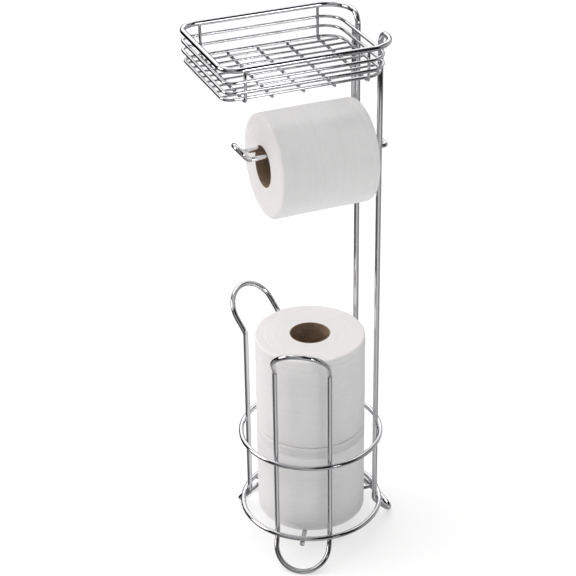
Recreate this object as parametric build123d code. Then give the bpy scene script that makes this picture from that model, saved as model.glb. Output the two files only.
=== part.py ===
"""Freestanding toilet paper holder: a welded chrome wire stand with a shelf
basket, an arm with a hanging roll and a cage that holds two spare rolls.

Sizes in millimetres, +Z up. The origin is the point of the floor under the
middle of the cage. +X points to the pair of uprights, the basket reaches
over -X, and the hanging roll turns about a line along X.
"""
import os
from math import cos, radians, sin, sqrt, tan

from build123d import *

# Wire diameters
FRAME_WIRE = 5.4
LOOP_WIRE = 5.2
RING_WIRE = 5.0
ARM_WIRE = 5.0
BASE_WIRE = 5.0
TRAY_WIRE = 3.3
HOOP_WIRE = 2.8
SLAT_WIRE = 2.5

# Cage of the spare rolls
LOWER_RING_Z = 34.0
UPPER_RING_Z = 124.2
RING_RADIUS = 73.9
UPRIGHT_HALF = 25.9
LOOP_HALF = 27.8
LOOP_ANGLE = 120.0
LOOP_TOP_BEND_Z = 233.0
LOOP_LEAN = 38.0
LOOP_LEAN_RUN = 17.0
FOOT_TILT = 43.0
FOOT_BEND = 8.0
SPOKE_OVERRUN = 3.0
BASE_BEND = 14.0

# Basket
RIM_Z = 570.4
RIM_LEFT_X = -106.3
RIM_HALF = 64.2
RIM_CORNER = 17.0
UPRIGHT_BEND = 12.0
RIM_END_CORNER = 26.0
TRAY_DROPS = (11.7, 21.3, 29.9)
TRAY_CORNER = 10.0
TRAY_END_CORNER = 20.0
TRAY_END_GAP = 3.2
HOOP_LEFT_INSET = 19.5
HOOP_RIGHT_INSET = 20.2
CROSS_SHARES = (0.287, 0.479, 0.670)
CROSS_OVERRUN = 0.5
SLAT_COUNT = 8
SLAT_PITCH = 13.0

# Roll arm
ARM_HALF = 9.7
ARM_OVERHANG = 18.2
ARM_SEAT_ANGLE = 20.0
ARM_TIP_ANGLE = 50.0
ARM_TIP_RUN = 5.7
ARM_BEND = 3.0
ARM_TIP_BEND = 7.0

# Paper rolls
HANGING_DROP = 129.9
HANGING_RADIUS = 52.0
HANGING_LENGTH = 103.0
HANGING_END_GAP = 5.7
RESERVE_GAP = 3.3
RESERVE_HEIGHT = 105.6
ROLL_EDGE = 2.0
CORE_BORE_RADIUS = 20.2
CORE_WALL = 0.9
FREE_PLAY = 0.25


def gap(first, second):
    """Distance between the centre lines of two wires that touch."""
    return (first + second) / 2


def bend_start(radius, turn):
    """Length from a corner to the start of its bend."""
    return radius * tan(radians(turn) / 2)


def bent(corners, radii, closed=False):
    """Straight runs with a tangent arc in every corner, as one wire."""
    points = [Vector(*c) for c in corners]
    count = len(points)
    ends = {}
    arcs = {}
    for i, radius in enumerate(radii):
        if not radius:
            continue
        before = (points[i] - points[i - 1]).normalized()
        after = (points[(i + 1) % count] - points[i]).normalized()
        turn = before.get_angle(after)
        run = bend_start(radius, turn)
        inward = (after - before).normalized()
        centre = points[i] + inward * (radius / cos(radians(turn) / 2))
        start = points[i] - before * run
        end = points[i] + after * run
        arcs[i] = ThreePointArc(start, centre - inward * radius, end)
        ends[i] = (start, end)
    edges = []
    for i in range(count):
        if i in arcs:
            edges.append(arcs[i])
        if i + 1 == count and not closed:
            break
        nxt = (i + 1) % count
        begin = ends[i][1] if i in ends else points[i]
        finish = ends[nxt][0] if nxt in ends else points[nxt]
        if (finish - begin).length > FREE_PLAY / 10:
            edges.append(Line(begin, finish))
    return edges


def rod(edges, wire):
    """A round wire along straight runs and arcs."""
    solid = None
    for edge in edges:
        place = Plane(origin=edge @ 0, z_dir=edge % 0)
        piece = sweep(place * Circle(wire / 2), path=edge)
        solid = piece if solid is None else solid + piece
    return solid


def turned(x, y, angle):
    """A plan position turned about the origin."""
    c = cos(radians(angle))
    s = sin(radians(angle))
    return x * c - y * s, x * s + y * c


def foot(half, wire, radial):
    """Plan reach and height of a foot's end, and the corner above it."""
    corner_z = LOWER_RING_Z - bend_start(FOOT_BEND, FOOT_TILT)
    low = wire / 2
    reach = radial + (corner_z - low) * tan(radians(FOOT_TILT))
    return reach, low, corner_z


def stand_radial(wire, half):
    """How far from the middle two wires stand that touch inside a ring."""
    return sqrt((RING_RADIUS - gap(RING_WIRE, wire)) ** 2 - half**2)


UPRIGHT_X = stand_radial(FRAME_WIRE, UPRIGHT_HALF)
LOOP_RADIAL = stand_radial(LOOP_WIRE, LOOP_HALF)


def frame_wire():
    """The rim, its two ends turned down as uprights, and their joint foot."""
    reach, low, corner_z = foot(UPRIGHT_HALF, FRAME_WIRE, UPRIGHT_X)
    side = [
        (RIM_LEFT_X, -RIM_HALF, RIM_Z),
        (UPRIGHT_X, -RIM_HALF, RIM_Z),
        (UPRIGHT_X, -UPRIGHT_HALF, RIM_Z),
        (UPRIGHT_X, -UPRIGHT_HALF, corner_z),
        (reach, -UPRIGHT_HALF, low),
    ]
    radii = [RIM_CORNER, RIM_END_CORNER, UPRIGHT_BEND, FOOT_BEND, UPRIGHT_HALF]
    other = [(x, -y, z) for x, y, z in reversed(side)]
    return rod(bent(side + other, radii + radii[::-1], closed=True), FRAME_WIRE)


def loop(angle):
    """A closed loop of the cage, with a foot below and a lip leaning out."""
    reach, low, corner_z = foot(LOOP_HALF, LOOP_WIRE, LOOP_RADIAL)
    lean = LOOP_LEAN_RUN + LOOP_HALF
    lip_r = LOOP_RADIAL + lean * sin(radians(LOOP_LEAN))
    lip_z = LOOP_TOP_BEND_Z + lean * cos(radians(LOOP_LEAN))
    profile = [
        (lip_r, lip_z),
        (LOOP_RADIAL, LOOP_TOP_BEND_Z),
        (LOOP_RADIAL, corner_z),
        (reach, low),
    ]
    near = [(*turned(r, -LOOP_HALF, angle), z) for r, z in profile]
    far = [(*turned(r, LOOP_HALF, angle), z) for r, z in reversed(profile)]
    radii = [LOOP_HALF, FOOT_BEND, FOOT_BEND, LOOP_HALF]
    return rod(bent(near + far, radii + radii[::-1], closed=True), LOOP_WIRE)


def ring(z):
    """A ring of the cage, round the outside of the standing wires."""
    return Pos(0, 0, z) * Torus(RING_RADIUS, RING_WIRE / 2)


def base_z():
    return LOWER_RING_Z - gap(RING_WIRE, BASE_WIRE)


def base_bent_wire():
    """Carries the rolls from the left side over the middle to the right."""
    reach = RING_RADIUS + SPOKE_OVERRUN
    left = (*turned(reach, 0, LOOP_ANGLE), base_z())
    right = (reach, 0, base_z())
    return rod(bent([left, (0, 0, base_z()), right], [0, BASE_BEND, 0]), BASE_WIRE)


def base_spoke():
    """Carries the rolls from the front side to the bent wire."""
    half_turn = radians(180 - LOOP_ANGLE) / 2
    rise = BASE_BEND * (1 / cos(half_turn) - 1)
    start = BASE_WIRE / 2 - rise
    inner = (*turned(start, 0, -LOOP_ANGLE), base_z())
    outer = (*turned(RING_RADIUS + SPOKE_OVERRUN, 0, -LOOP_ANGLE), base_z())
    return rod([Line(inner, outer)], BASE_WIRE)


HOOP_HALF = RIM_HALF - gap(FRAME_WIRE, HOOP_WIRE)
TRAY_HALF = HOOP_HALF + gap(HOOP_WIRE, TRAY_WIRE)
FLOOR_HALF = HOOP_HALF - gap(HOOP_WIRE, TRAY_WIRE)
TRAY_LEFT_X = RIM_LEFT_X + RIM_HALF - TRAY_HALF
TRAY_RIGHT_X = UPRIGHT_X - gap(FRAME_WIRE, TRAY_WIRE) - TRAY_END_GAP
TRAY_LENGTH = TRAY_RIGHT_X - TRAY_LEFT_X
HANGING_RIGHT_X = UPRIGHT_X - FRAME_WIRE / 2 - HANGING_END_GAP
HANGING_LEFT_X = HANGING_RIGHT_X - HANGING_LENGTH
HANGING_AXIS_Z = RIM_Z - HANGING_DROP
RESERVE_RADIUS = LOOP_RADIAL - LOOP_WIRE / 2 - RESERVE_GAP
FLOOR_Z = RIM_Z - TRAY_DROPS[-1]
CROSS_Z = FLOOR_Z - gap(TRAY_WIRE, HOOP_WIRE)
SLAT_Z = CROSS_Z + gap(HOOP_WIRE, SLAT_WIRE)


def tray_ring(drop, half):
    """A closed wire round the basket."""
    z = RIM_Z - drop
    corners = [
        (TRAY_LEFT_X, -half, z),
        (TRAY_RIGHT_X, -half, z),
        (TRAY_RIGHT_X, half, z),
        (TRAY_LEFT_X, half, z),
    ]
    radii = [TRAY_CORNER, TRAY_END_CORNER, TRAY_END_CORNER, TRAY_CORNER]
    return rod(bent(corners, radii, closed=True), TRAY_WIRE)


def hoop(x):
    """From inside the rim down, under the basket's floor and up again."""
    turn = gap(TRAY_WIRE, HOOP_WIRE)
    corners = [
        (x, -HOOP_HALF, RIM_Z),
        (x, -HOOP_HALF, CROSS_Z),
        (x, HOOP_HALF, CROSS_Z),
        (x, HOOP_HALF, RIM_Z),
    ]
    return rod(bent(corners, [0, turn, turn, 0]), HOOP_WIRE)


def cross(x):
    """A straight wire across and under the basket's floor."""
    reach = FLOOR_HALF + CROSS_OVERRUN
    return rod([Line((x, -reach, CROSS_Z), (x, reach, CROSS_Z))], HOOP_WIRE)


def slat(y):
    """A long wire of the basket's floor, between the floor ring's ends."""
    start = TRAY_LEFT_X + TRAY_WIRE / 2
    inside = TRAY_END_CORNER - TRAY_WIRE / 2
    past = max(0, abs(y) + SLAT_WIRE / 2 - FLOOR_HALF + TRAY_END_CORNER)
    end = TRAY_RIGHT_X - TRAY_END_CORNER + sqrt(inside**2 - past**2)
    return rod([Line((start, y, SLAT_Z), (end, y, SLAT_Z))], SLAT_WIRE)


def arm_z():
    """Height of the arm's wires: they touch the core near its top."""
    inside = CORE_BORE_RADIUS - FREE_PLAY - ARM_WIRE / 2
    return HANGING_AXIS_Z + sqrt(inside**2 - ARM_HALF**2)


def arm():
    """Two legs through the core, with a raised tip on the left, that turn
    round the uprights on the right and rise along them to the basket."""
    z = arm_z()
    touch = gap(FRAME_WIRE, ARM_WIRE)
    rise_x = UPRIGHT_X - touch * sin(radians(ARM_SEAT_ANGLE))
    rise_y = UPRIGHT_HALF + touch * cos(radians(ARM_SEAT_ANGLE))
    back_x = UPRIGHT_X + touch
    end_x = HANGING_LEFT_X - ARM_OVERHANG
    top = RIM_Z - UPRIGHT_BEND - ARM_WIRE / 2
    tip = ARM_TIP_RUN + ARM_HALF
    tip_x = end_x - tip * cos(radians(ARM_TIP_ANGLE))
    tip_z = z + tip * sin(radians(ARM_TIP_ANGLE))
    near = [
        (rise_x, -rise_y, top),
        (rise_x, -rise_y, z),
        (back_x, -rise_y, z),
        (back_x, -ARM_HALF, z),
        (end_x, -ARM_HALF, z),
        (tip_x, -ARM_HALF, tip_z),
    ]
    far = [(x, -y, zz) for x, y, zz in reversed(near)]
    radii = [0, ARM_BEND, ARM_BEND, ARM_BEND, ARM_TIP_BEND, ARM_HALF]
    return rod(bent(near + far, radii + radii[::-1]), ARM_WIRE)


def tube(inner, outer, length):
    """A hollow cylinder standing on the ground plane."""
    ground = (Align.CENTER, Align.CENTER, Align.MIN)
    body = Cylinder(outer, length, align=ground)
    return body - Cylinder(inner, length, align=ground)


def core(length):
    return tube(CORE_BORE_RADIUS, CORE_BORE_RADIUS + CORE_WALL, length)


def paper(radius, length):
    """A roll's paper, with the edges of its side rounded."""
    roll = tube(CORE_BORE_RADIUS + CORE_WALL, radius, length)
    rims = roll.edges().filter_by(GeomType.CIRCLE).sort_by(SortBy.RADIUS)[-2:]
    return fillet(rims, ROLL_EDGE)


HANGING = Pos(HANGING_LEFT_X, 0, HANGING_AXIS_Z) * Rot(0, 90, 0)
RESERVE_Z = base_z() + BASE_WIRE / 2

SLAT_YS = [SLAT_PITCH * (i - (SLAT_COUNT - 1) / 2) for i in range(SLAT_COUNT)]

nodes = {
    "frame_wire": frame_wire(),
    "front_loop": loop(-LOOP_ANGLE),
    "left_loop": loop(LOOP_ANGLE),
    "upper_ring": ring(UPPER_RING_Z),
    "lower_ring": ring(LOWER_RING_Z),
    "base_bent_wire": base_bent_wire(),
    "base_spoke": base_spoke(),
    "roll_arm": arm(),
    "tray_ring_top": tray_ring(TRAY_DROPS[0], TRAY_HALF),
    "tray_ring_middle": tray_ring(TRAY_DROPS[1], TRAY_HALF),
    "tray_ring_floor": tray_ring(TRAY_DROPS[2], FLOOR_HALF),
    "hoop_left": hoop(TRAY_LEFT_X + HOOP_LEFT_INSET),
    "hoop_right": hoop(TRAY_RIGHT_X - HOOP_RIGHT_INSET),
    "hanging_paper": HANGING * paper(HANGING_RADIUS, HANGING_LENGTH),
    "hanging_core": HANGING * core(HANGING_LENGTH),
    "lower_reserve_paper": Pos(0, 0, RESERVE_Z) * paper(RESERVE_RADIUS, RESERVE_HEIGHT),
    "lower_reserve_core": Pos(0, 0, RESERVE_Z) * core(RESERVE_HEIGHT),
}
for place, share in zip(("left", "middle", "right"), CROSS_SHARES):
    nodes[f"cross_{place}"] = cross(TRAY_LEFT_X + TRAY_LENGTH * share)
for i, y in enumerate(SLAT_YS, start=1):
    nodes[f"slat_{i}"] = slat(y)
UPPER_RESERVE = Pos(0, 0, RESERVE_Z + RESERVE_HEIGHT)
nodes["upper_reserve_paper"] = UPPER_RESERVE * paper(RESERVE_RADIUS, RESERVE_HEIGHT)
nodes["upper_reserve_core"] = UPPER_RESERVE * core(RESERVE_HEIGHT)

os.makedirs("parts", exist_ok=True)
for name, solid in nodes.items():
    export_step(solid, f"parts/{name}.step")
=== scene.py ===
"""Freestanding toilet paper holder: a chrome wire stand with a basket, an arm
with a hanging roll, and a cage with two spare rolls.

Sizes are in metres, +Z is up and the origin is on the floor under the middle
of the cage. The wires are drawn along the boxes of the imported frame's nodes,
so a place is typed here only where no box gives it.
"""
from math import ceil, cos, pi, radians, sin, sqrt, tan

import bmesh
import bpy
from bpy.props import FloatProperty, FloatVectorProperty, IntProperty, PointerProperty
from bpy.types import Operator, Panel, PropertyGroup
from mathutils import Matrix, Vector


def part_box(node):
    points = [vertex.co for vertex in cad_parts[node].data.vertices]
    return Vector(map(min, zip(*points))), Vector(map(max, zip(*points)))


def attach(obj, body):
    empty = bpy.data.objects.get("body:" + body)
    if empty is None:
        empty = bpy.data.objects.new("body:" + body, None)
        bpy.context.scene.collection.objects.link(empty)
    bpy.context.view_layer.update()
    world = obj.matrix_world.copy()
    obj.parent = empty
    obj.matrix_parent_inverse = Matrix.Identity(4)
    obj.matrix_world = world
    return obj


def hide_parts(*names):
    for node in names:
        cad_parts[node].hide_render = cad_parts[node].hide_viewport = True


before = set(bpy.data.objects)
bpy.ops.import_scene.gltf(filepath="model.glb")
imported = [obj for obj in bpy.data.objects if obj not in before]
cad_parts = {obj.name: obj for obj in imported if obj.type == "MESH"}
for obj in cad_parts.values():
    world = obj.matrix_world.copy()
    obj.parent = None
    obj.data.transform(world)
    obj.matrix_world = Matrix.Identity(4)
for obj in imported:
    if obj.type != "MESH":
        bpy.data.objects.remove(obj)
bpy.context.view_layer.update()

bl_info = {
    "name": "Paper Stand",
    "version": (1, 0, 0),
    "blender": (4, 5, 0),
    "location": "3D View > Sidebar > Paper Stand",
    "description": "Models a chrome toilet paper stand and its rolls around a packed frame",
    "category": "Add Mesh",
}

# The body that the wires ride on, and a name for each of the three finishes
STAND = "stand"
CHROME = "chrome_wire"
TISSUE = "tissue"
BOARD = "core_board"
# Plan angle of each loop of the cage, counted from the uprights at +X
LOOP_TURNS = {"front_loop": radians(-120), "left_loop": radians(120)}
SPARE_ROLLS = ("lower_reserve", "upper_reserve")

# Corners closer than this are one
MERGE = 2e-6
# How finely bends, round wires and rolls are modelled
BEND_STEP = radians(7)
FEWEST_BEND_STEPS = 4
WIRE_ROUNDNESS = 7
CUT_END_STEPS = 3
SPIN_STEPS = 160
SIDE_STEPS = 24
# Edges that turn by more than this are rounded on a cut wire, or stay sharp in the shading
CUT_EDGE = radians(60)
WIRE_CREASE = radians(35)
ROLL_CREASE = radians(50)
# Waves that the turns of a wound end follow: step from turn to turn, and start
WOUND_WAVES = ((2.4, 0), (5.1, 1))
# Gap between a wound end and the side, in widths of the rounded edge
SHOULDER = 1.6
# What lies further out than this share of a roll's radius swells and sinks, in patches of this size
SIDE_SHARE = 0.99
SWELLING_SIZE = 0.035

# Per metre: fine lines and creases along a roll, layers across its ends, turns of its core's seam
LINES = 1100.0
CREASES = 270.0
LAYERS = 2600.0
SEAM_TURNS = 11.5
# The side's finish turns into the end's between these distances from the end
END_MARGIN = (0.0022, 0.0006)

# The even light from above, and how it leans
SKY_LIGHT = {"energy": 2.65, "angle": radians(80), "color": (1.0, 0.985, 0.98)}
SKY_LEAN = (radians(-8), radians(-10), 0)
# Soft boxes of the studio: place, aim, size, power, colour and beam width
SOFT_BOXES = {
    "left": ((-2.3, 0.9, 1.2), (0, 0, 0.3), 1.4, 22, (1.0, 0.94, 0.935), radians(180)),
    "front": ((0.5, -1.8, 0.75), (0, 0, 0.46), 0.4, 0.12, (1.0, 1.0, 1.0), radians(24)),
}
# What the bright wires mirror: brightness from below (0) over the horizon (0.5) to above (1)
MIRRORED = (
    (0.0, 0.34),
    (0.28, 0.34),
    (0.34, 0.2),
    (0.39, 0.01),
    (0.80, 0.01),
    (0.86, 0.1),
    (0.91, 1.4),
    (0.94, 1.4),
    (0.965, 0.08),
    (1.0, 0.08),
)
# Panels in that room: plan angle, half width, brightness, and lower and upper edge, where -1 is
# straight below and 1 straight above
PANELS = (
    (radians(296), radians(48), 0.01, -0.3, 0.97),
    (radians(95), radians(31), 0.0, -0.64, 0.2),
    (radians(0), radians(34), 0.5, -0.25, 0.5),
    (radians(180), radians(21), 0.06, -0.75, -0.2),
    (radians(262), radians(27), 0.8, -0.66, -0.22),
    (radians(222), radians(25), 0.42, -0.1, 0.55),
    (radians(20), radians(20), 0.6, -0.75, 0.0),
    (radians(75), radians(42), 1.7, 0.22, 2.0),
)
# A panel fades in and out between these shares of its half width, and this far past its edges
PANEL_SIDES = (1.4, 0.6)
PANEL_FADE = 0.05
# How much light the matt surfaces get from the room
AMBIENT = {"walls": 0.06, "ceiling": 0.5}
# The camera's sensor in millimetres, and how near and how far it sees
SENSOR_WIDTH = 36
SIGHT = (0.05, 60)


class WireSizes(PropertyGroup):
    """Diameters and bends of the stand's wires."""

    frame_wire: FloatProperty(
        name="Frame wire",
        description="Diameter of the wire that makes the rim and the uprights",
        default=0.0054,
        unit="LENGTH",
    )
    loop_wire: FloatProperty(
        name="Loop wire",
        description="Diameter of the wire of the cage's two loops",
        default=0.0052,
        unit="LENGTH",
    )
    arm_wire: FloatProperty(
        name="Arm wire",
        description="Diameter of the wire of the roll arm",
        default=0.005,
        unit="LENGTH",
    )
    rim_corner: FloatProperty(
        name="Rim corner",
        description="Bend radius of the rim's two corners on the left",
        default=0.017,
        unit="LENGTH",
    )
    rim_end_corner: FloatProperty(
        name="Rim end corner",
        description="Bend radius of the rim's two corners above the uprights",
        default=0.026,
        unit="LENGTH",
    )
    upright_bend: FloatProperty(
        name="Upright bend",
        description="Bend radius where the rim turns down into an upright",
        default=0.012,
        unit="LENGTH",
    )
    upright_half: FloatProperty(
        name="Half the uprights' distance",
        description="From the middle to the centre line of an upright",
        default=0.0259,
        unit="LENGTH",
    )
    foot_tilt: FloatProperty(
        name="Foot tilt",
        description="How far a foot leans out from upright",
        default=radians(43),
        subtype="ANGLE",
    )
    foot_bend: FloatProperty(
        name="Foot bend",
        description="Bend radius where a standing wire turns out into its foot",
        default=0.008,
        unit="LENGTH",
    )
    base_bend: FloatProperty(
        name="Base bend",
        description="Bend radius in the middle of the wire under the spare rolls",
        default=0.014,
        unit="LENGTH",
    )
    end_round: FloatProperty(
        name="End rounding",
        description="Width of the rounded edge on a cut wire end",
        default=0.0005,
        unit="LENGTH",
    )


class LoopSizes(PropertyGroup):
    """Shape of the cage's two loops."""

    half: FloatProperty(
        name="Half width",
        description="From the loop's middle to the centre line of a side",
        default=0.0278,
        unit="LENGTH",
    )
    lean: FloatProperty(
        name="Lip lean",
        description="How far the loop's lip leans out from upright",
        default=radians(38),
        subtype="ANGLE",
    )
    lean_run: FloatProperty(
        name="Lip run",
        description="Straight length of the lip below its round end",
        default=0.017,
        unit="LENGTH",
    )


class BasketSizes(PropertyGroup):
    """Bends of the basket's wires."""

    corner: FloatProperty(
        name="Corner",
        description="Bend radius of a basket wire on the left",
        default=0.010,
        unit="LENGTH",
    )
    end_corner: FloatProperty(
        name="End corner",
        description="Bend radius of a basket wire beside the uprights",
        default=0.020,
        unit="LENGTH",
    )


class ArmSizes(PropertyGroup):
    """Shape of the roll arm."""

    half: FloatProperty(
        name="Half width",
        description="From the arm's middle to the centre line of a leg",
        default=0.0097,
        unit="LENGTH",
    )
    bend: FloatProperty(
        name="Bend",
        description="Bend radius where a leg turns round its upright",
        default=0.003,
        unit="LENGTH",
    )
    tip_angle: FloatProperty(
        name="Tip angle",
        description="How steeply the arm's tip rises",
        default=radians(50),
        subtype="ANGLE",
    )
    tip_run: FloatProperty(
        name="Tip run",
        description="Straight length of the tip before its round end",
        default=0.0057,
        unit="LENGTH",
    )
    tip_bend: FloatProperty(
        name="Tip bend",
        description="Bend radius where the arm turns up into its tip",
        default=0.007,
        unit="LENGTH",
    )


class RollSizes(PropertyGroup):
    """Shape of the paper rolls."""

    core_wall: FloatProperty(
        name="Core wall",
        description="Thickness of the cardboard tube",
        default=0.0009,
        unit="LENGTH",
    )
    edge_round: FloatProperty(
        name="Edge rounding",
        description="How softly the side of a spare roll turns into its ends",
        default=0.0018,
        unit="LENGTH",
    )
    worn_round: FloatProperty(
        name="Worn rounding",
        description="Rounding of the hanging roll's edge next to the uprights",
        default=0.0068,
        unit="LENGTH",
    )
    free_round: FloatProperty(
        name="Free rounding",
        description="Rounding of the hanging roll's edge next to the arm's tip",
        default=0.0034,
        unit="LENGTH",
    )
    end_ripple: FloatProperty(
        name="End ripple",
        description="How far single turns of paper stand in or out at the ends",
        default=0.00018,
        unit="LENGTH",
    )
    turns_shown: IntProperty(
        name="Turns shown",
        description="Rings that the ends of a roll are modelled with",
        default=22,
        min=4,
    )
    unevenness: FloatProperty(
        name="Unevenness",
        description="How far the soft side of a roll departs from round",
        default=0.0009,
        unit="LENGTH",
    )


class Finishes(PropertyGroup):
    """Colours of the finishes."""

    chrome: FloatVectorProperty(
        name="Chrome",
        description="Colour of the plated wires",
        default=(0.80, 0.81, 0.83),
        subtype="COLOR",
        size=3,
    )
    chrome_dull: FloatVectorProperty(
        name="Dull chrome",
        description="Colour of the plating where it has been handled",
        default=(0.66, 0.67, 0.69),
        subtype="COLOR",
        size=3,
    )
    paper: FloatVectorProperty(
        name="Paper",
        description="Colour of the tissue paper",
        default=(0.80, 0.80, 0.80),
        subtype="COLOR",
        size=3,
    )
    # Lighter and warmer than the side paper: painted light for the warm lamp light that falls on the
    # roll ends
    lit_paper_end: FloatVectorProperty(
        name="Paper end",
        description="Colour of the cut ends of the rolls",
        default=(0.85, 0.83, 0.825),
        subtype="COLOR",
        size=3,
    )
    board: FloatVectorProperty(
        name="Cardboard",
        description="Colour of the cardboard core",
        default=(0.31, 0.215, 0.145),
        subtype="COLOR",
        size=3,
    )
    floor: FloatVectorProperty(
        name="Floor",
        description="Colour of the studio floor",
        default=(0.45, 0.45, 0.45),
        subtype="COLOR",
        size=3,
    )


class StudioSettings(PropertyGroup):
    """The camera and the floor of the studio."""

    lens: FloatProperty(
        name="Lens",
        description=f"Focal length for a sensor {SENSOR_WIDTH} mm wide, in millimetres",
        default=106.51,
    )
    distance: FloatProperty(
        name="Distance",
        description="How far the camera stands from the middle of the stand, on plan",
        default=1.50799,
        unit="LENGTH",
    )
    azimuth: FloatProperty(
        name="Azimuth",
        description="Plan angle of the camera's place, counted from +X",
        default=radians(247.37),
        subtype="ANGLE",
    )
    height: FloatProperty(
        name="Height",
        description="Height of the camera above the floor",
        default=1.1433,
        unit="LENGTH",
    )
    heading: FloatProperty(
        name="Heading",
        description="Plan angle in which the camera looks, counted from +X",
        default=radians(68.20),
        subtype="ANGLE",
    )
    pitch: FloatProperty(
        name="Pitch",
        description="How far the camera looks down",
        default=radians(29.34),
        subtype="ANGLE",
    )
    roll: FloatProperty(
        name="Roll",
        description="How far the camera leans to its left",
        default=radians(-0.86),
        subtype="ANGLE",
    )
    floor_size: FloatProperty(
        name="Floor size",
        description="Length of a side of the studio floor",
        default=14.0,
        unit="LENGTH",
    )


GROUPS = {
    "stand_wires": WireSizes,
    "stand_loops": LoopSizes,
    "stand_basket": BasketSizes,
    "stand_arm": ArmSizes,
    "stand_rolls": RollSizes,
    "stand_finishes": Finishes,
    "stand_studio": StudioSettings,
}


def height(node):
    """Height of a node's box, which is the diameter of a level wire."""
    low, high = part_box(node)
    return high.z - low.z


def middle(node):
    """Middle of a node's box."""
    low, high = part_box(node)
    return (low + high) / 2


def clear_selection():
    """Leaves edit mode and selects nothing, because operators act on all that is selected."""
    if bpy.context.mode != "OBJECT":
        bpy.ops.object.mode_set(mode="OBJECT")
    bpy.ops.object.select_all(action="DESELECT")


def make_active(piece):
    """Selects one piece alone."""
    clear_selection()
    piece.select_set(True)
    bpy.context.view_layer.objects.active = piece


def pick(piece, wanted):
    """Selects the vertices of the piece in edit mode whose places pass a test."""
    mesh = bmesh.from_edit_mesh(piece.data)
    bpy.ops.mesh.select_all(action="DESELECT")
    for vertex in mesh.verts:
        vertex.select_set(wanted(vertex.co))
    mesh.select_flush(True)
    bmesh.update_edit_mesh(piece.data)


def draw_line(name, corners, closed):
    """Draws straight runs from corner to corner by extruding one vertex."""
    clear_selection()
    bpy.ops.mesh.primitive_plane_add(size=1)
    piece = bpy.context.object
    piece.name = name
    bpy.ops.object.mode_set(mode="EDIT")
    bpy.ops.mesh.select_mode(type="VERT")
    bpy.ops.mesh.merge(type="CENTER")
    bpy.ops.transform.translate(value=corners[0])
    for before, after in zip(corners, corners[1:]):
        bpy.ops.mesh.extrude_vertices_move(TRANSFORM_OT_translate={"value": after - before})
    if closed:
        ends = (corners[0], corners[-1])
        pick(piece, lambda place: min((place - end).length for end in ends) < MERGE)
        bpy.ops.mesh.edge_face_add()
    return piece


def round_corners(piece, corners, bends):
    """Bevels each corner of a line into an arc of its bend radius."""
    count = len(corners)
    for i, (corner, bend) in enumerate(zip(corners, bends)):
        if not bend:
            continue
        before = corner - corners[i - 1]
        after = corners[(i + 1) % count] - corner
        turn = before.angle(after)
        pick(piece, lambda place: (place - corner).length < MERGE)
        bpy.ops.mesh.bevel(
            affect="VERTICES",
            offset=bend * tan(turn / 2),
            segments=max(FEWEST_BEND_STEPS, ceil(turn / BEND_STEP)),
            clamp_overlap=False,
        )
    bpy.ops.mesh.select_all(action="SELECT")
    bpy.ops.mesh.remove_doubles(threshold=MERGE)


def thicken(piece, wire, closed, end_round):
    """Turns a line into a round wire, with the edges of its cut ends rounded."""
    make_active(piece)
    bpy.ops.object.convert(target="CURVE")
    piece.data.bevel_depth = wire / 2
    piece.data.bevel_resolution = WIRE_ROUNDNESS
    piece.data.use_fill_caps = not closed
    bpy.ops.object.convert(target="MESH")
    bpy.ops.object.mode_set(mode="EDIT")
    bpy.ops.mesh.select_all(action="SELECT")
    bpy.ops.mesh.remove_doubles(threshold=MERGE)
    bpy.ops.mesh.normals_make_consistent(inside=False)
    bpy.ops.object.mode_set(mode="OBJECT")
    if not closed:
        rounding = piece.modifiers.new("Rounded ends", "BEVEL")
        rounding.width = end_round
        rounding.segments = CUT_END_STEPS
        rounding.limit_method = "ANGLE"
        rounding.angle_limit = CUT_EDGE
        bpy.ops.object.modifier_apply(modifier=rounding.name)
    bpy.ops.object.shade_smooth_by_angle(angle=WIRE_CREASE)


def bend_wire(name, table, wire, closed=False, end_round=0.0):
    """Models a wire from rows of x, y, z and bend radius, one for each corner."""
    corners = [Vector(row[:3]) for row in table]
    bends = [row[3] for row in table]
    piece = draw_line(name, corners, closed)
    round_corners(piece, corners, bends)
    thicken(piece, wire, closed, end_round)
    return piece


def mirrored(side):
    """A side's corners followed by their mirror images, so that both join in the middle."""
    return side + [(x, -y, z, bend) for x, y, z, bend in reversed(side)]


def copy_piece(piece, name, shift=(0, 0, 0), turn=0.0):
    """A copy with its own mesh, moved and then turned about the stand's upright axis."""
    make_active(piece)
    bpy.ops.object.duplicate(linked=False)
    copy = bpy.context.object
    copy.name = name
    bpy.ops.object.mode_set(mode="EDIT")
    bpy.ops.mesh.select_all(action="SELECT")
    bpy.ops.transform.translate(value=shift)
    # With no window open, rotate turns the other way round
    bpy.ops.transform.rotate(value=-turn, orient_axis="Z", center_override=(0, 0, 0))
    bpy.ops.object.mode_set(mode="OBJECT")
    return copy


def settle(piece, body, slot, finish, *nodes):
    """Gives a finished piece its material and body, and hides the nodes that it stands for; the slot is
    not used.
    """
    piece.data.materials.clear()
    piece.data.materials.append(finish)
    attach(piece, body)
    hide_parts(*nodes)


def settle_wire(context, piece, node):
    """Settles a wire of the stand, with its plating."""
    settle(piece, STAND, CHROME, chrome_finish(context.scene.stand_finishes), node)


def standing_radial(wire, half):
    """How far from the middle a pair of wires stands that touches the rings from inside."""
    low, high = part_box("upper_ring")
    inside = (high.x - low.x) / 2 - height("upper_ring") - wire / 2
    return sqrt(inside**2 - half**2)


def knee(wires):
    """Height of the corner above the uprights' foot, which the loops share."""
    low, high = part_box("frame_wire")
    radial = standing_radial(wires.frame_wire, wires.upright_half)
    reach = high.x - wires.frame_wire / 2
    return low.z + wires.frame_wire / 2 + (reach - radial) / tan(wires.foot_tilt)


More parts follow.
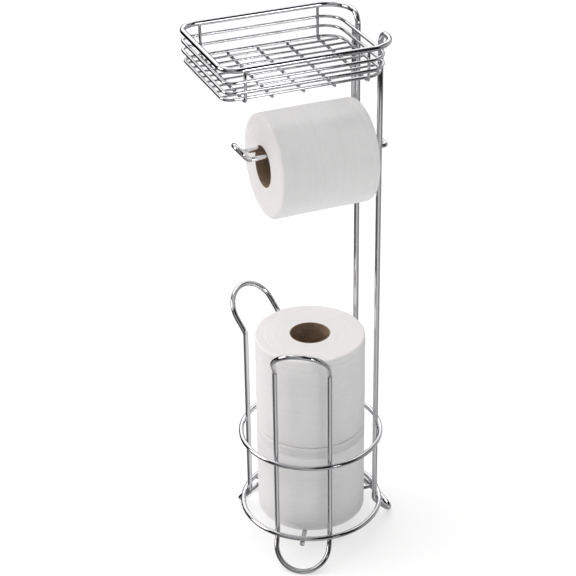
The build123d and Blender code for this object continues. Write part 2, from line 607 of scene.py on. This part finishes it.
class Value:
    """A socket in a finish's node tree, for use in Python expressions."""

    def __init__(self, tree, socket=None):
        self.tree = tree
        self.socket = socket

    def node(self, kind, sockets=(), output=0, stops=(), **settings):
        """Adds a node of any type: its settings come first, then what its sockets take."""
        made = self.tree.nodes.new(kind)
        for name, setting in settings.items():
            setattr(made, name, setting)
        for i, (position, shade) in enumerate(stops):
            stop = made.color_ramp.elements[i] if i < 2 else made.color_ramp.elements.new(position)
            stop.position = position
            stop.color = (shade, shade, shade, 1)
        for key, given in dict(sockets).items():
            if isinstance(given, Value):
                self.tree.links.new(made.inputs[key], given.socket)
            else:
                made.inputs[key].default_value = given
        return Value(self.tree, made.outputs[output])

    def math(self, operation, *others):
        """Adds a Math node that starts from this value."""
        return self.node("ShaderNodeMath", enumerate((self, *others)), operation=operation)

    def __add__(self, other):
        return self.math("ADD", other)

    def __radd__(self, other):
        return self + other

    def __sub__(self, other):
        return self.math("SUBTRACT", other)

    def __rsub__(self, other):
        return self * -1 + other

    def __mul__(self, other):
        return self.math("MULTIPLY", other)

    def __rmul__(self, other):
        return self * other

    def between(self, low, high):
        """0 at low and beyond, 1 at high and beyond, and smooth between them."""
        return self.node(
            "ShaderNodeMapRange",
            {"Value": self, "From Min": low, "From Max": high},
            interpolation_type="SMOOTHSTEP",
        )

    def parts(self):
        """The x, y and z of a place or direction."""
        return [self.node("ShaderNodeSeparateXYZ", {"Vector": self}, output=i) for i in range(3)]

    def noise(self, scale, detail):
        """Uneven patches over a place."""
        return self.node("ShaderNodeTexNoise", {"Vector": self, "Scale": scale, "Detail": detail})

    def ripples(self, detail):
        """Uneven ripples along one measure."""
        sockets = {"W": self, "Scale": 1.0, "Detail": detail}
        return self.node("ShaderNodeTexNoise", sockets, noise_dimensions="1D")

    def bump(self, strength, distance):
        """The normal of a surface with this relief."""
        return self.node("ShaderNodeBump", {"Strength": strength, "Distance": distance, "Height": self})

    def mix(self, first, second):
        """A colour that goes from first to second as this value goes from 0 to 1."""
        return self.node("ShaderNodeMix", {0: self, 6: first, 7: second}, output=2, data_type="RGBA")


def start_finish(name):
    """An empty material, and a value to build its nodes from."""
    material = bpy.data.materials.new(name)
    material.use_nodes = True
    material.node_tree.nodes.clear()
    return material, Value(material.node_tree)


def close_finish(start, sockets):
    """Ends a finish with its shader."""
    surface = start.node("ShaderNodeBsdfPrincipled", sockets)
    output = start.tree.nodes.new("ShaderNodeOutputMaterial")
    start.tree.links.new(output.inputs["Surface"], surface.socket)


def solid_colour(colour, shade=1.0):
    """A colour property, darkened by a shade, as a socket takes it."""
    return (*(shade * part for part in colour), 1)


def chrome_finish(finishes):
    """Bright plating over drawn wire: slightly wavy, with dull patches and fine specks."""
    if CHROME in bpy.data.materials:
        return bpy.data.materials[CHROME]
    material, start = start_finish(CHROME)
    place = start.node("ShaderNodeTexCoord", output="Object")
    patches = place.noise(38.0, 4.0)
    specks = place.noise(900.0, 2.0)
    dull = patches.between(0.52, 0.78)
    colour = dull.mix(solid_colour(finishes.chrome), solid_colour(finishes.chrome_dull))
    roughness = dull * 0.05 + specks * 0.02 + 0.02
    normal = (patches * 0.6 + specks * 0.04).bump(0.12, 0.0004)
    sockets = {"Base Color": colour, "Metallic": 1.0, "Roughness": roughness, "Normal": normal}
    close_finish(start, sockets)
    return material


def roll_place(start, centre, turn):
    """The place on a roll, seen from its middle with z along its axis."""
    place = start.node("ShaderNodeTexCoord", output="Object")
    sockets = {"Vector": place, "Location": centre, "Rotation": turn}
    return start.node("ShaderNodeMapping", sockets, vector_type="TEXTURE")


def paper_finish(name, finishes, centre, turn, half_length):
    """Soft tissue: fine lines pressed in round the side, fibres, and wound layers on the ends. Its
    colour darkens with painted shade along the lines, creases and layers, and its ends carry painted
    light.
    """
    material, start = start_finish(name)
    place = roll_place(start, centre, turn)
    x, y, along = place.parts()
    radial = (x * x + y * y).math("SQRT")
    fibres = place.noise(950.0, 5.0)
    mottle = place.noise(60.0, 3.0)
    clouds = place.noise(14.0, 2.0)
    lines = (along * LINES + mottle * 0.8).ripples(1.5)
    creases = (along * CREASES + mottle * 1.8 + clouds * 2.5).ripples(2.0)
    layers = (radial * LAYERS + clouds * 3.0).ripples(3.0)
    at_end = along.math("ABSOLUTE").between(*(half_length - margin for margin in END_MARGIN))
    at_side = 1 - at_end
    # Painted shade: the colour greys along the pressed lines, the creases and the gaps between wound
    # layers; the mottle and fibres are the paper's own uneven tone
    side_painted_shade_and_tone = lines * 0.15 + creases * 0.3 + mottle * 0.35 + fibres * 0.2
    shade = at_side * side_painted_shade_and_tone + at_end * (layers * 0.8 + fibres * 0.2)
    # The ends take the lighter, warmer end colour: painted light on the ends that face the lamps
    paper_with_lit_ends = at_end.mix(solid_colour(finishes.paper), solid_colour(finishes.lit_paper_end))
    # Low values grey the paper: painted shade of its relief, mixed with the paper's own uneven tone
    colour = shade.between(0.75, 0.15).mix(paper_with_lit_ends, solid_colour(finishes.paper, 0.90))
    side_relief = lines * 0.5 + creases * 1.7 + mottle * 0.7 + fibres * 0.35
    relief = at_side * side_relief + at_end * (layers * 0.9 + fibres * 0.3)
    sockets = {
        "Base Color": colour,
        "Roughness": fibres * 0.1 + 0.88,
        "Normal": relief.bump(0.75, 0.0005),
        "Specular IOR Level": 0.2,
    }
    close_finish(start, sockets)
    return material


def board_finish(name, finishes, centre, turn):
    """Grey-brown cardboard with flecks and the spiral seam of its wound strips."""
    material, start = start_finish(name)
    place = roll_place(start, centre, turn)
    x, y, along = place.parts()
    angle = y.math("ARCTAN2", x)
    fibres = place.noise(420.0, 6.0)
    blots = place.noise(55.0, 3.0)
    winding = (along * SEAM_TURNS + angle * (0.5 / pi)).math("FRACT")
    seam = (winding - 0.5).math("ABSOLUTE").between(0.018, 0.004)
    shade = fibres * 0.6 + blots * 0.4 - seam * 0.35
    dark = solid_colour(finishes.board, 0.62)
    colour = shade.between(0.3, 0.62).mix(dark, solid_colour(finishes.board))
    normal = (fibres * 0.4 - seam * 0.6).bump(0.6, 0.0004)
    close_finish(start, {"Base Color": colour, "Roughness": fibres * 0.15 + 0.78, "Normal": normal})
    return material


class STAND_OT_frame_wire(Operator):
    """Bends the wire that makes the rim, both uprights and the foot between them"""

    bl_idname = "paper_stand.frame_wire"
    bl_label = "Frame Wire"

    def execute(self, context):
        wires = context.scene.stand_wires
        wire = wires.frame_wire
        low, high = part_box("frame_wire")
        half = wires.upright_half
        upright_x = standing_radial(wire, half)
        rim_left = low.x + wire / 2
        rim_half = high.y - wire / 2
        rim_z = high.z - wire / 2
        side = [
            (rim_left, -rim_half, rim_z, wires.rim_corner),
            (upright_x, -rim_half, rim_z, wires.rim_end_corner),
            (upright_x, -half, rim_z, wires.upright_bend),
            (upright_x, -half, knee(wires), wires.foot_bend),
            (high.x - wire / 2, -half, low.z + wire / 2, half),
        ]
        piece = bend_wire("chrome_frame_wire", mirrored(side), wire, closed=True)
        settle_wire(context, piece, "frame_wire")
        return {"FINISHED"}


class STAND_OT_loops(Operator):
    """Bends the cage's front loop and copies it to the left"""

    bl_idname = "paper_stand.loops"
    bl_label = "Cage Loops"

    def execute(self, context):
        wires = context.scene.stand_wires
        sizes = context.scene.stand_loops
        wire = wires.loop_wire
        low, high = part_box("front_loop")
        radial = standing_radial(wire, sizes.half)
        lean = sizes.lean_run + sizes.half
        lip_z = high.z - wire / 2
        foot_z = low.z + wire / 2
        foot_reach = radial + (knee(wires) - foot_z) * tan(wires.foot_tilt)
        side = [
            (radial + lean * sin(sizes.lean), -sizes.half, lip_z, sizes.half),
            (radial, -sizes.half, lip_z - lean * cos(sizes.lean), wires.foot_bend),
            (radial, -sizes.half, knee(wires), wires.foot_bend),
            (foot_reach, -sizes.half, foot_z, sizes.half),
        ]
        pattern = bend_wire("chrome_loop_pattern", mirrored(side), wire, closed=True)
        for node, turn in LOOP_TURNS.items():
            piece = copy_piece(pattern, f"chrome_{node}", turn=turn)
            settle_wire(context, piece, node)
        bpy.data.objects.remove(pattern)
        return {"FINISHED"}


class STAND_OT_rings(Operator):
    """Bends the cage's upper ring and copies it for the lower ring"""

    bl_idname = "paper_stand.rings"
    bl_label = "Cage Rings"

    def execute(self, context):
        low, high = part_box("upper_ring")
        wire = height("upper_ring")
        radius = (high.x - low.x - wire) / 2
        z = middle("upper_ring").z
        square = [(-radius, -radius, z, radius), (radius, -radius, z, radius)]
        upper = bend_wire("chrome_upper_ring", mirrored(square), wire, closed=True)
        drop = middle("lower_ring") - middle("upper_ring")
        lower = copy_piece(upper, "chrome_lower_ring", shift=drop)
        settle_wire(context, upper, "upper_ring")
        settle_wire(context, lower, "lower_ring")
        return {"FINISHED"}


class STAND_OT_base_wires(Operator):
    """Bends the two wires under the spare rolls"""

    bl_idname = "paper_stand.base_wires"
    bl_label = "Base Wires"

    def execute(self, context):
        wires = context.scene.stand_wires
        wire = height("base_spoke")
        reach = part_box("base_bent_wire")[1].x
        z = middle("base_bent_wire").z
        left = LOOP_TURNS["left_loop"]
        front = LOOP_TURNS["front_loop"]
        path = [
            (reach * cos(left), reach * sin(left), z, 0),
            (0, 0, z, wires.base_bend),
            (reach, 0, z, 0),
        ]
        bent = bend_wire("chrome_base_bent_wire", path, wire, end_round=wires.end_round)
        rise = wires.base_bend * (1 / cos((pi - left) / 2) - 1)
        start = wire / 2 - rise
        spoke = [
            (start * cos(front), start * sin(front), z, 0),
            (reach * cos(front), reach * sin(front), z, 0),
        ]
        straight = bend_wire("chrome_base_spoke", spoke, wire, end_round=wires.end_round)
        settle_wire(context, bent, "base_bent_wire")
        settle_wire(context, straight, "base_spoke")
        return {"FINISHED"}


class STAND_OT_basket_rings(Operator):
    """Bends the three closed wires round the basket"""

    bl_idname = "paper_stand.basket_rings"
    bl_label = "Basket Rings"

    def execute(self, context):
        sizes = context.scene.stand_basket
        for node in ("tray_ring_top", "tray_ring_middle", "tray_ring_floor"):
            low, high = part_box(node)
            wire = height(node)
            z = middle(node).z
            side = [
                (low.x + wire / 2, low.y + wire / 2, z, sizes.corner),
                (high.x - wire / 2, low.y + wire / 2, z, sizes.end_corner),
            ]
            piece = bend_wire(f"chrome_{node}", mirrored(side), wire, closed=True)
            settle_wire(context, piece, node)
        return {"FINISHED"}


class STAND_OT_basket_hoops(Operator):
    """Bends the left hoop under the basket and copies it to the right"""

    bl_idname = "paper_stand.basket_hoops"
    bl_label = "Basket Hoops"

    def execute(self, context):
        wires = context.scene.stand_wires
        low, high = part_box("hoop_left")
        wire = high.x - low.x
        bend = (wire + height("tray_ring_floor")) / 2
        x = middle("hoop_left").x
        side = [
            (x, low.y + wire / 2, high.z, 0),
            (x, low.y + wire / 2, low.z + wire / 2, bend),
        ]
        left = bend_wire("chrome_hoop_left", mirrored(side), wire, end_round=wires.end_round)
        right = copy_piece(left, "chrome_hoop_right", shift=middle("hoop_right") - middle("hoop_left"))
        settle_wire(context, left, "hoop_left")
        settle_wire(context, right, "hoop_right")
        return {"FINISHED"}


class STAND_OT_basket_floor(Operator):
    """Models one cross wire and one floor wire and copies each to its fellows"""

    bl_idname = "paper_stand.basket_floor"
    bl_label = "Basket Floor"

    def execute(self, context):
        for prefix, axis in (("cross_", "y"), ("slat_", "x")):
            nodes = sorted(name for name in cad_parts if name.startswith(prefix))
            self.straight_wires(context, nodes, axis)
        return {"FINISHED"}

    def straight_wires(self, context, nodes, axis):
        """Copies of one straight wire, each as long as its node."""
        wires = context.scene.stand_wires
        first = nodes[0]
        ends = []
        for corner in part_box(first):
            end = middle(first)
            setattr(end, axis, getattr(corner, axis))
            ends.append((*end, 0))
        pattern = bend_wire("chrome_pattern", ends, height(first), end_round=wires.end_round)
        for node in nodes:
            low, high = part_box(node)
            shift = middle(node) - middle(first)
            setattr(shift, axis, getattr(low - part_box(first)[0], axis))
            piece = copy_piece(pattern, f"chrome_{node}", shift=shift)
            self.pull_end(piece, axis, getattr(middle(node), axis), getattr(high, axis))
            settle_wire(context, piece, node)
        bpy.data.objects.remove(pattern)

    def pull_end(self, piece, axis, past, reach):
        """Moves the far end of a straight wire to where its node ends."""
        found = max(getattr(vertex.co, axis) for vertex in piece.data.vertices)
        shift = Vector()
        setattr(shift, axis, reach - found)
        bpy.ops.object.mode_set(mode="EDIT")
        pick(piece, lambda place: getattr(place, axis) > past)
        bpy.ops.transform.translate(value=shift)
        bpy.ops.object.mode_set(mode="OBJECT")


class STAND_OT_roll_arm(Operator):
    """Bends the arm: two legs through the roll that turn round the uprights and rise"""

    bl_idname = "paper_stand.roll_arm"
    bl_label = "Roll Arm"

    def execute(self, context):
        wires = context.scene.stand_wires
        sizes = context.scene.stand_arm
        wire = wires.arm_wire
        low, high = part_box("roll_arm")
        z = low.z + wire / 2
        back_x = high.x - wire / 2
        rise_y = low.y + wire / 2
        touch = (wires.frame_wire + wire) / 2
        beside = -rise_y - wires.upright_half
        rise_x = standing_radial(wires.frame_wire, wires.upright_half) - sqrt(touch**2 - beside**2)
        tip_x = low.x + wire / 2
        tip = sizes.tip_run + sizes.half
        end_x = tip_x + tip * cos(sizes.tip_angle)
        side = [
            (rise_x, rise_y, high.z, 0),
            (rise_x, rise_y, z, sizes.bend),
            (back_x, rise_y, z, sizes.bend),
            (back_x, -sizes.half, z, sizes.bend),
            (end_x, -sizes.half, z, sizes.tip_bend),
            (tip_x, -sizes.half, z + tip * sin(sizes.tip_angle), sizes.half),
        ]
        piece = bend_wire("chrome_roll_arm", mirrored(side), wire, end_round=wires.end_round)
        settle_wire(context, piece, "roll_arm")
        return {"FINISHED"}


def wound_end(near, far, at, ripple, turns):
    """Places over a roll's end, where its turns of paper stand a little in and out."""
    places = []
    for i in range(turns + 1):
        stand = ripple * sum(sin(step * i + start) for step, start in WOUND_WAVES) / 2
        places.append((near + (far - near) * i / turns, at + stand))
    return places


def make_uneven(piece, origin, along, reach, amount):
    """Lets the side of a roll swell and sink a little, as soft paper does."""
    side = piece.vertex_groups.new(name="side")
    for corner in piece.data.vertices:
        place = corner.co - origin
        if (place - along * place.dot(along)).length > reach:
            side.add([corner.index], 1.0, "REPLACE")
    texture = bpy.data.textures.new("soft_swellings", "CLOUDS")
    texture.noise_scale = SWELLING_SIZE
    bpy.ops.object.modifier_add(type="DISPLACE")
    swelling = piece.modifiers[-1]
    swelling.texture = texture
    swelling.strength = amount
    swelling.vertex_group = side.name
    bpy.ops.object.modifier_apply(modifier=swelling.name)
    piece.vertex_groups.clear()


def spin_section(name, section, bends, origin, along, across):
    """Spins a closed section of distances from the axis and places along it into a solid."""
    corners = [origin + across * out + along * up for out, up in section]
    piece = draw_line(name, corners, closed=True)
    round_corners(piece, corners, bends)
    bpy.ops.mesh.select_all(action="SELECT")
    bpy.ops.mesh.spin(steps=SPIN_STEPS, angle=2 * pi, center=origin, axis=along)
    bpy.ops.mesh.select_all(action="SELECT")
    bpy.ops.mesh.remove_doubles(threshold=MERGE)
    bpy.ops.mesh.normals_make_consistent(inside=False)
    bpy.ops.object.mode_set(mode="OBJECT")
    bpy.ops.object.shade_smooth_by_angle(angle=ROLL_CREASE)
    return piece


def model_roll(context, name, body, along, low_edge, high_edge):
    """Models one roll: its paper, with an edge rounding for either end, and its core."""
    sizes = context.scene.stand_rolls
    finishes = context.scene.stand_finishes
    low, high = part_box(f"{name}_paper")
    core_low, core_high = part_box(f"{name}_core")
    centre = (low + high) / 2
    half = (high - low).dot(along) / 2
    across = Vector((0, 1, 0))
    radius = (high - low).dot(across) / 2
    core_radius = (core_high - core_low).dot(across) / 2
    turn = (0, radians(90), 0) if along.x else (0, 0, 0)
    ripple = sizes.end_ripple
    top, foot = (
        wound_end(core_radius, radius - SHOULDER * edge, half - ripple, ripple, sizes.turns_shown)
        for edge in (high_edge, low_edge)
    )
    bottom = [(out, -up) for out, up in reversed(foot)]
    side = [(radius, half * (1 - 2 * i / SIDE_STEPS)) for i in range(1, SIDE_STEPS)]
    section = top + [(radius, half)] + side + [(radius, -half)] + bottom
    bends = [0] * len(top) + [high_edge] + [0] * len(side) + [low_edge] + [0] * len(bottom)
    paper = spin_section(f"{name}_tissue", section, bends, centre, along, across)
    make_uneven(paper, centre, along, radius * SIDE_SHARE, sizes.unevenness)
    tissue = paper_finish(f"{name}_tissue", finishes, centre, turn, half)
    settle(paper, body, TISSUE, tissue, f"{name}_paper")
    bore = core_radius - sizes.core_wall
    wall = [(bore, half), (core_radius, half), (core_radius, -half), (bore, -half)]
    core = spin_section(f"{name}_board", wall, [sizes.core_wall / 4] * 4, centre, along, across)
    board = board_finish(f"{name}_board", finishes, centre, turn)
    settle(core, body, BOARD, board, f"{name}_core")


class STAND_OT_hanging_roll(Operator):
    """Models the roll on the arm"""

    bl_idname = "paper_stand.hanging_roll"
    bl_label = "Hanging Roll"

    def execute(self, context):
        sizes = context.scene.stand_rolls
        rounding = (sizes.free_round, sizes.worn_round)
        model_roll(context, "hanging", "hanging_roll", Vector((1, 0, 0)), *rounding)
        return {"FINISHED"}


class STAND_OT_spare_rolls(Operator):
    """Models the two rolls in the cage"""

    bl_idname = "paper_stand.spare_rolls"
    bl_label = "Spare Rolls"

    def execute(self, context):
        edge = context.scene.stand_rolls.edge_round
        for name in SPARE_ROLLS:
            model_roll(context, name, f"{name}_roll", Vector((0, 0, 1)), edge, edge)
        return {"FINISHED"}


class STAND_OT_studio(Operator):
    """Sets up the floor, the soft lights and the camera"""

    bl_idname = "paper_stand.studio"
    bl_label = "Studio"

    def execute(self, context):
        self.lay_floor(context)
        self.hang_lights()
        self.light_surroundings(context)
        self.place_camera(context)
        return {"FINISHED"}

    def lay_floor(self, context):
        """A wide pale floor under the stand."""
        clear_selection()
        bpy.ops.mesh.primitive_plane_add(size=context.scene.stand_studio.floor_size)
        floor = bpy.context.object
        floor.name = "studio_floor"
        material, start = start_finish("studio_floor")
        grain = start.node("ShaderNodeTexCoord", output="Object").noise(3.0, 3.0)
        colour = context.scene.stand_finishes.floor
        sockets = {
            "Base Color": grain.mix(solid_colour(colour), solid_colour(colour, 0.985)),
            "Roughness": 0.9,
            "Specular IOR Level": 0.1,
            "Emission Color": (1, 1, 1, 1),
            "Emission Strength": 0.55,
        }
        close_finish(start, sockets)
        floor.data.materials.append(material)
        floor.visible_glossy = False

    def hang_lights(self):
        """Even light from above, and soft boxes to the left and in front."""
        clear_selection()
        bpy.ops.object.light_add(type="SUN", location=(0, 0, 3))
        sky = bpy.context.object
        sky.name = "sky_light"
        for name, setting in SKY_LIGHT.items():
            setattr(sky.data, name, setting)
        sky.visible_glossy = False
        sky.rotation_euler = SKY_LEAN
        for name, (place, target, size, power, colour, beam) in SOFT_BOXES.items():
            clear_selection()
            bpy.ops.object.light_add(type="AREA", location=place)
            lamp = bpy.context.object
            lamp.name = f"soft_box_{name}"
            lamp.data.shape = "SQUARE"
            lamp.data.size = size
            lamp.data.energy = power
            lamp.data.color = colour
            lamp.data.spread = beam
            direction = Vector(target) - Vector(place)
            lamp.rotation_euler = direction.to_track_quat("-Z", "Y").to_euler()

    def light_surroundings(self, context):
        """A dim room for the matt surfaces, and light and dark panels for the bright wires."""
        world = bpy.data.worlds.new("studio_room")
        context.scene.world = world
        world.use_nodes = True
        world.node_tree.nodes.clear()
        start = Value(world.node_tree)
        x, y, up = start.node("ShaderNodeTexCoord", output="Generated").parts()
        round_about = y.math("ARCTAN2", x)
        level = start.node("ShaderNodeValToRGB", {"Fac": up * 0.5 + 0.5}, stops=MIRRORED)
        for heading, half_width, brightness, bottom, top in PANELS:
            aside = (round_about - heading).math("COSINE")
            mask = aside.between(*(cos(half_width * share) for share in PANEL_SIDES))
            mask = mask * up.between(bottom - PANEL_FADE, bottom + PANEL_FADE)
            mask = mask * up.between(top + PANEL_FADE, top - PANEL_FADE)
            level = level + mask * (brightness - level)
        mirrored_room = start.node("ShaderNodeBackground", {"Strength": level})
        ambient = up.between(0.3, 0.7) * (AMBIENT["ceiling"] - AMBIENT["walls"]) + AMBIENT["walls"]
        room = start.node("ShaderNodeBackground", {"Strength": ambient})
        backdrop = start.node("ShaderNodeBackground", {"Color": (1, 1, 1, 1), "Strength": 1.0})
        mirroring = start.node("ShaderNodeLightPath", output="Is Glossy Ray")
        seen = start.node("ShaderNodeLightPath", output="Is Camera Ray")
        light = start.node("ShaderNodeMixShader", {0: mirroring, 1: room, 2: mirrored_room})
        light = start.node("ShaderNodeMixShader", {0: seen, 1: light, 2: backdrop})
        output = world.node_tree.nodes.new("ShaderNodeOutputWorld")
        world.node_tree.links.new(output.inputs["Surface"], light.socket)

    def place_camera(self, context):
        """The camera at the photograph's viewing angle."""
        studio = context.scene.stand_studio
        clear_selection()
        bpy.ops.object.camera_add()
        camera = bpy.context.object
        camera.name = "studio_camera"
        camera.data.sensor_width = SENSOR_WIDTH
        camera.data.lens = studio.lens
        camera.data.clip_start, camera.data.clip_end = SIGHT
        place = Vector((cos(studio.azimuth), sin(studio.azimuth), 0)) * studio.distance
        place.z = studio.height
        aim = (
            Matrix.Rotation(studio.heading - pi / 2, 4, "Z")
            @ Matrix.Rotation(pi / 2 - studio.pitch, 4, "X")
            @ Matrix.Rotation(studio.roll, 4, "Z")
        )
        camera.matrix_world = Matrix.Translation(place) @ aim
        context.scene.camera = camera
        context.scene.view_settings.view_transform = "Standard"


OPERATORS = (
    STAND_OT_frame_wire,
    STAND_OT_loops,
    STAND_OT_rings,
    STAND_OT_base_wires,
    STAND_OT_basket_rings,
    STAND_OT_basket_hoops,
    STAND_OT_basket_floor,
    STAND_OT_roll_arm,
    STAND_OT_hanging_roll,
    STAND_OT_spare_rolls,
    STAND_OT_studio,
)


class STAND_PT_sidebar(Panel):
    """Lists the pieces of the stand and their sizes"""

    bl_idname = "STAND_PT_sidebar"
    bl_label = "Paper Stand"
    bl_space_type = "VIEW_3D"
    bl_region_type = "UI"
    bl_category = "Paper Stand"

    def draw(self, context):
        for operator in OPERATORS:
            self.layout.operator(operator.bl_idname)
        for name in GROUPS:
            box = self.layout.box()
            group = getattr(context.scene, name)
            for size in group.bl_rna.properties.keys():
                if size not in ("rna_type", "name"):
                    box.prop(group, size)


def register():
    """Registers the groups of sizes, the operators and the panel."""
    for name, group in GROUPS.items():
        bpy.utils.register_class(group)
        setattr(bpy.types.Scene, name, PointerProperty(type=group))
    for operator in OPERATORS:
        bpy.utils.register_class(operator)
    bpy.utils.register_class(STAND_PT_sidebar)


def unregister():
    """Takes back all that register set up."""
    bpy.utils.unregister_class(STAND_PT_sidebar)
    for operator in reversed(OPERATORS):
        bpy.utils.unregister_class(operator)
    for name, group in reversed(GROUPS.items()):
        delattr(bpy.types.Scene, name)
        bpy.utils.unregister_class(group)


def main():
    """Makes every piece in order."""
    register()
    for operator in OPERATORS:
        group, name = operator.bl_idname.split(".")
        getattr(getattr(bpy.ops, group), name)()


if __name__ == "__main__":
    main()
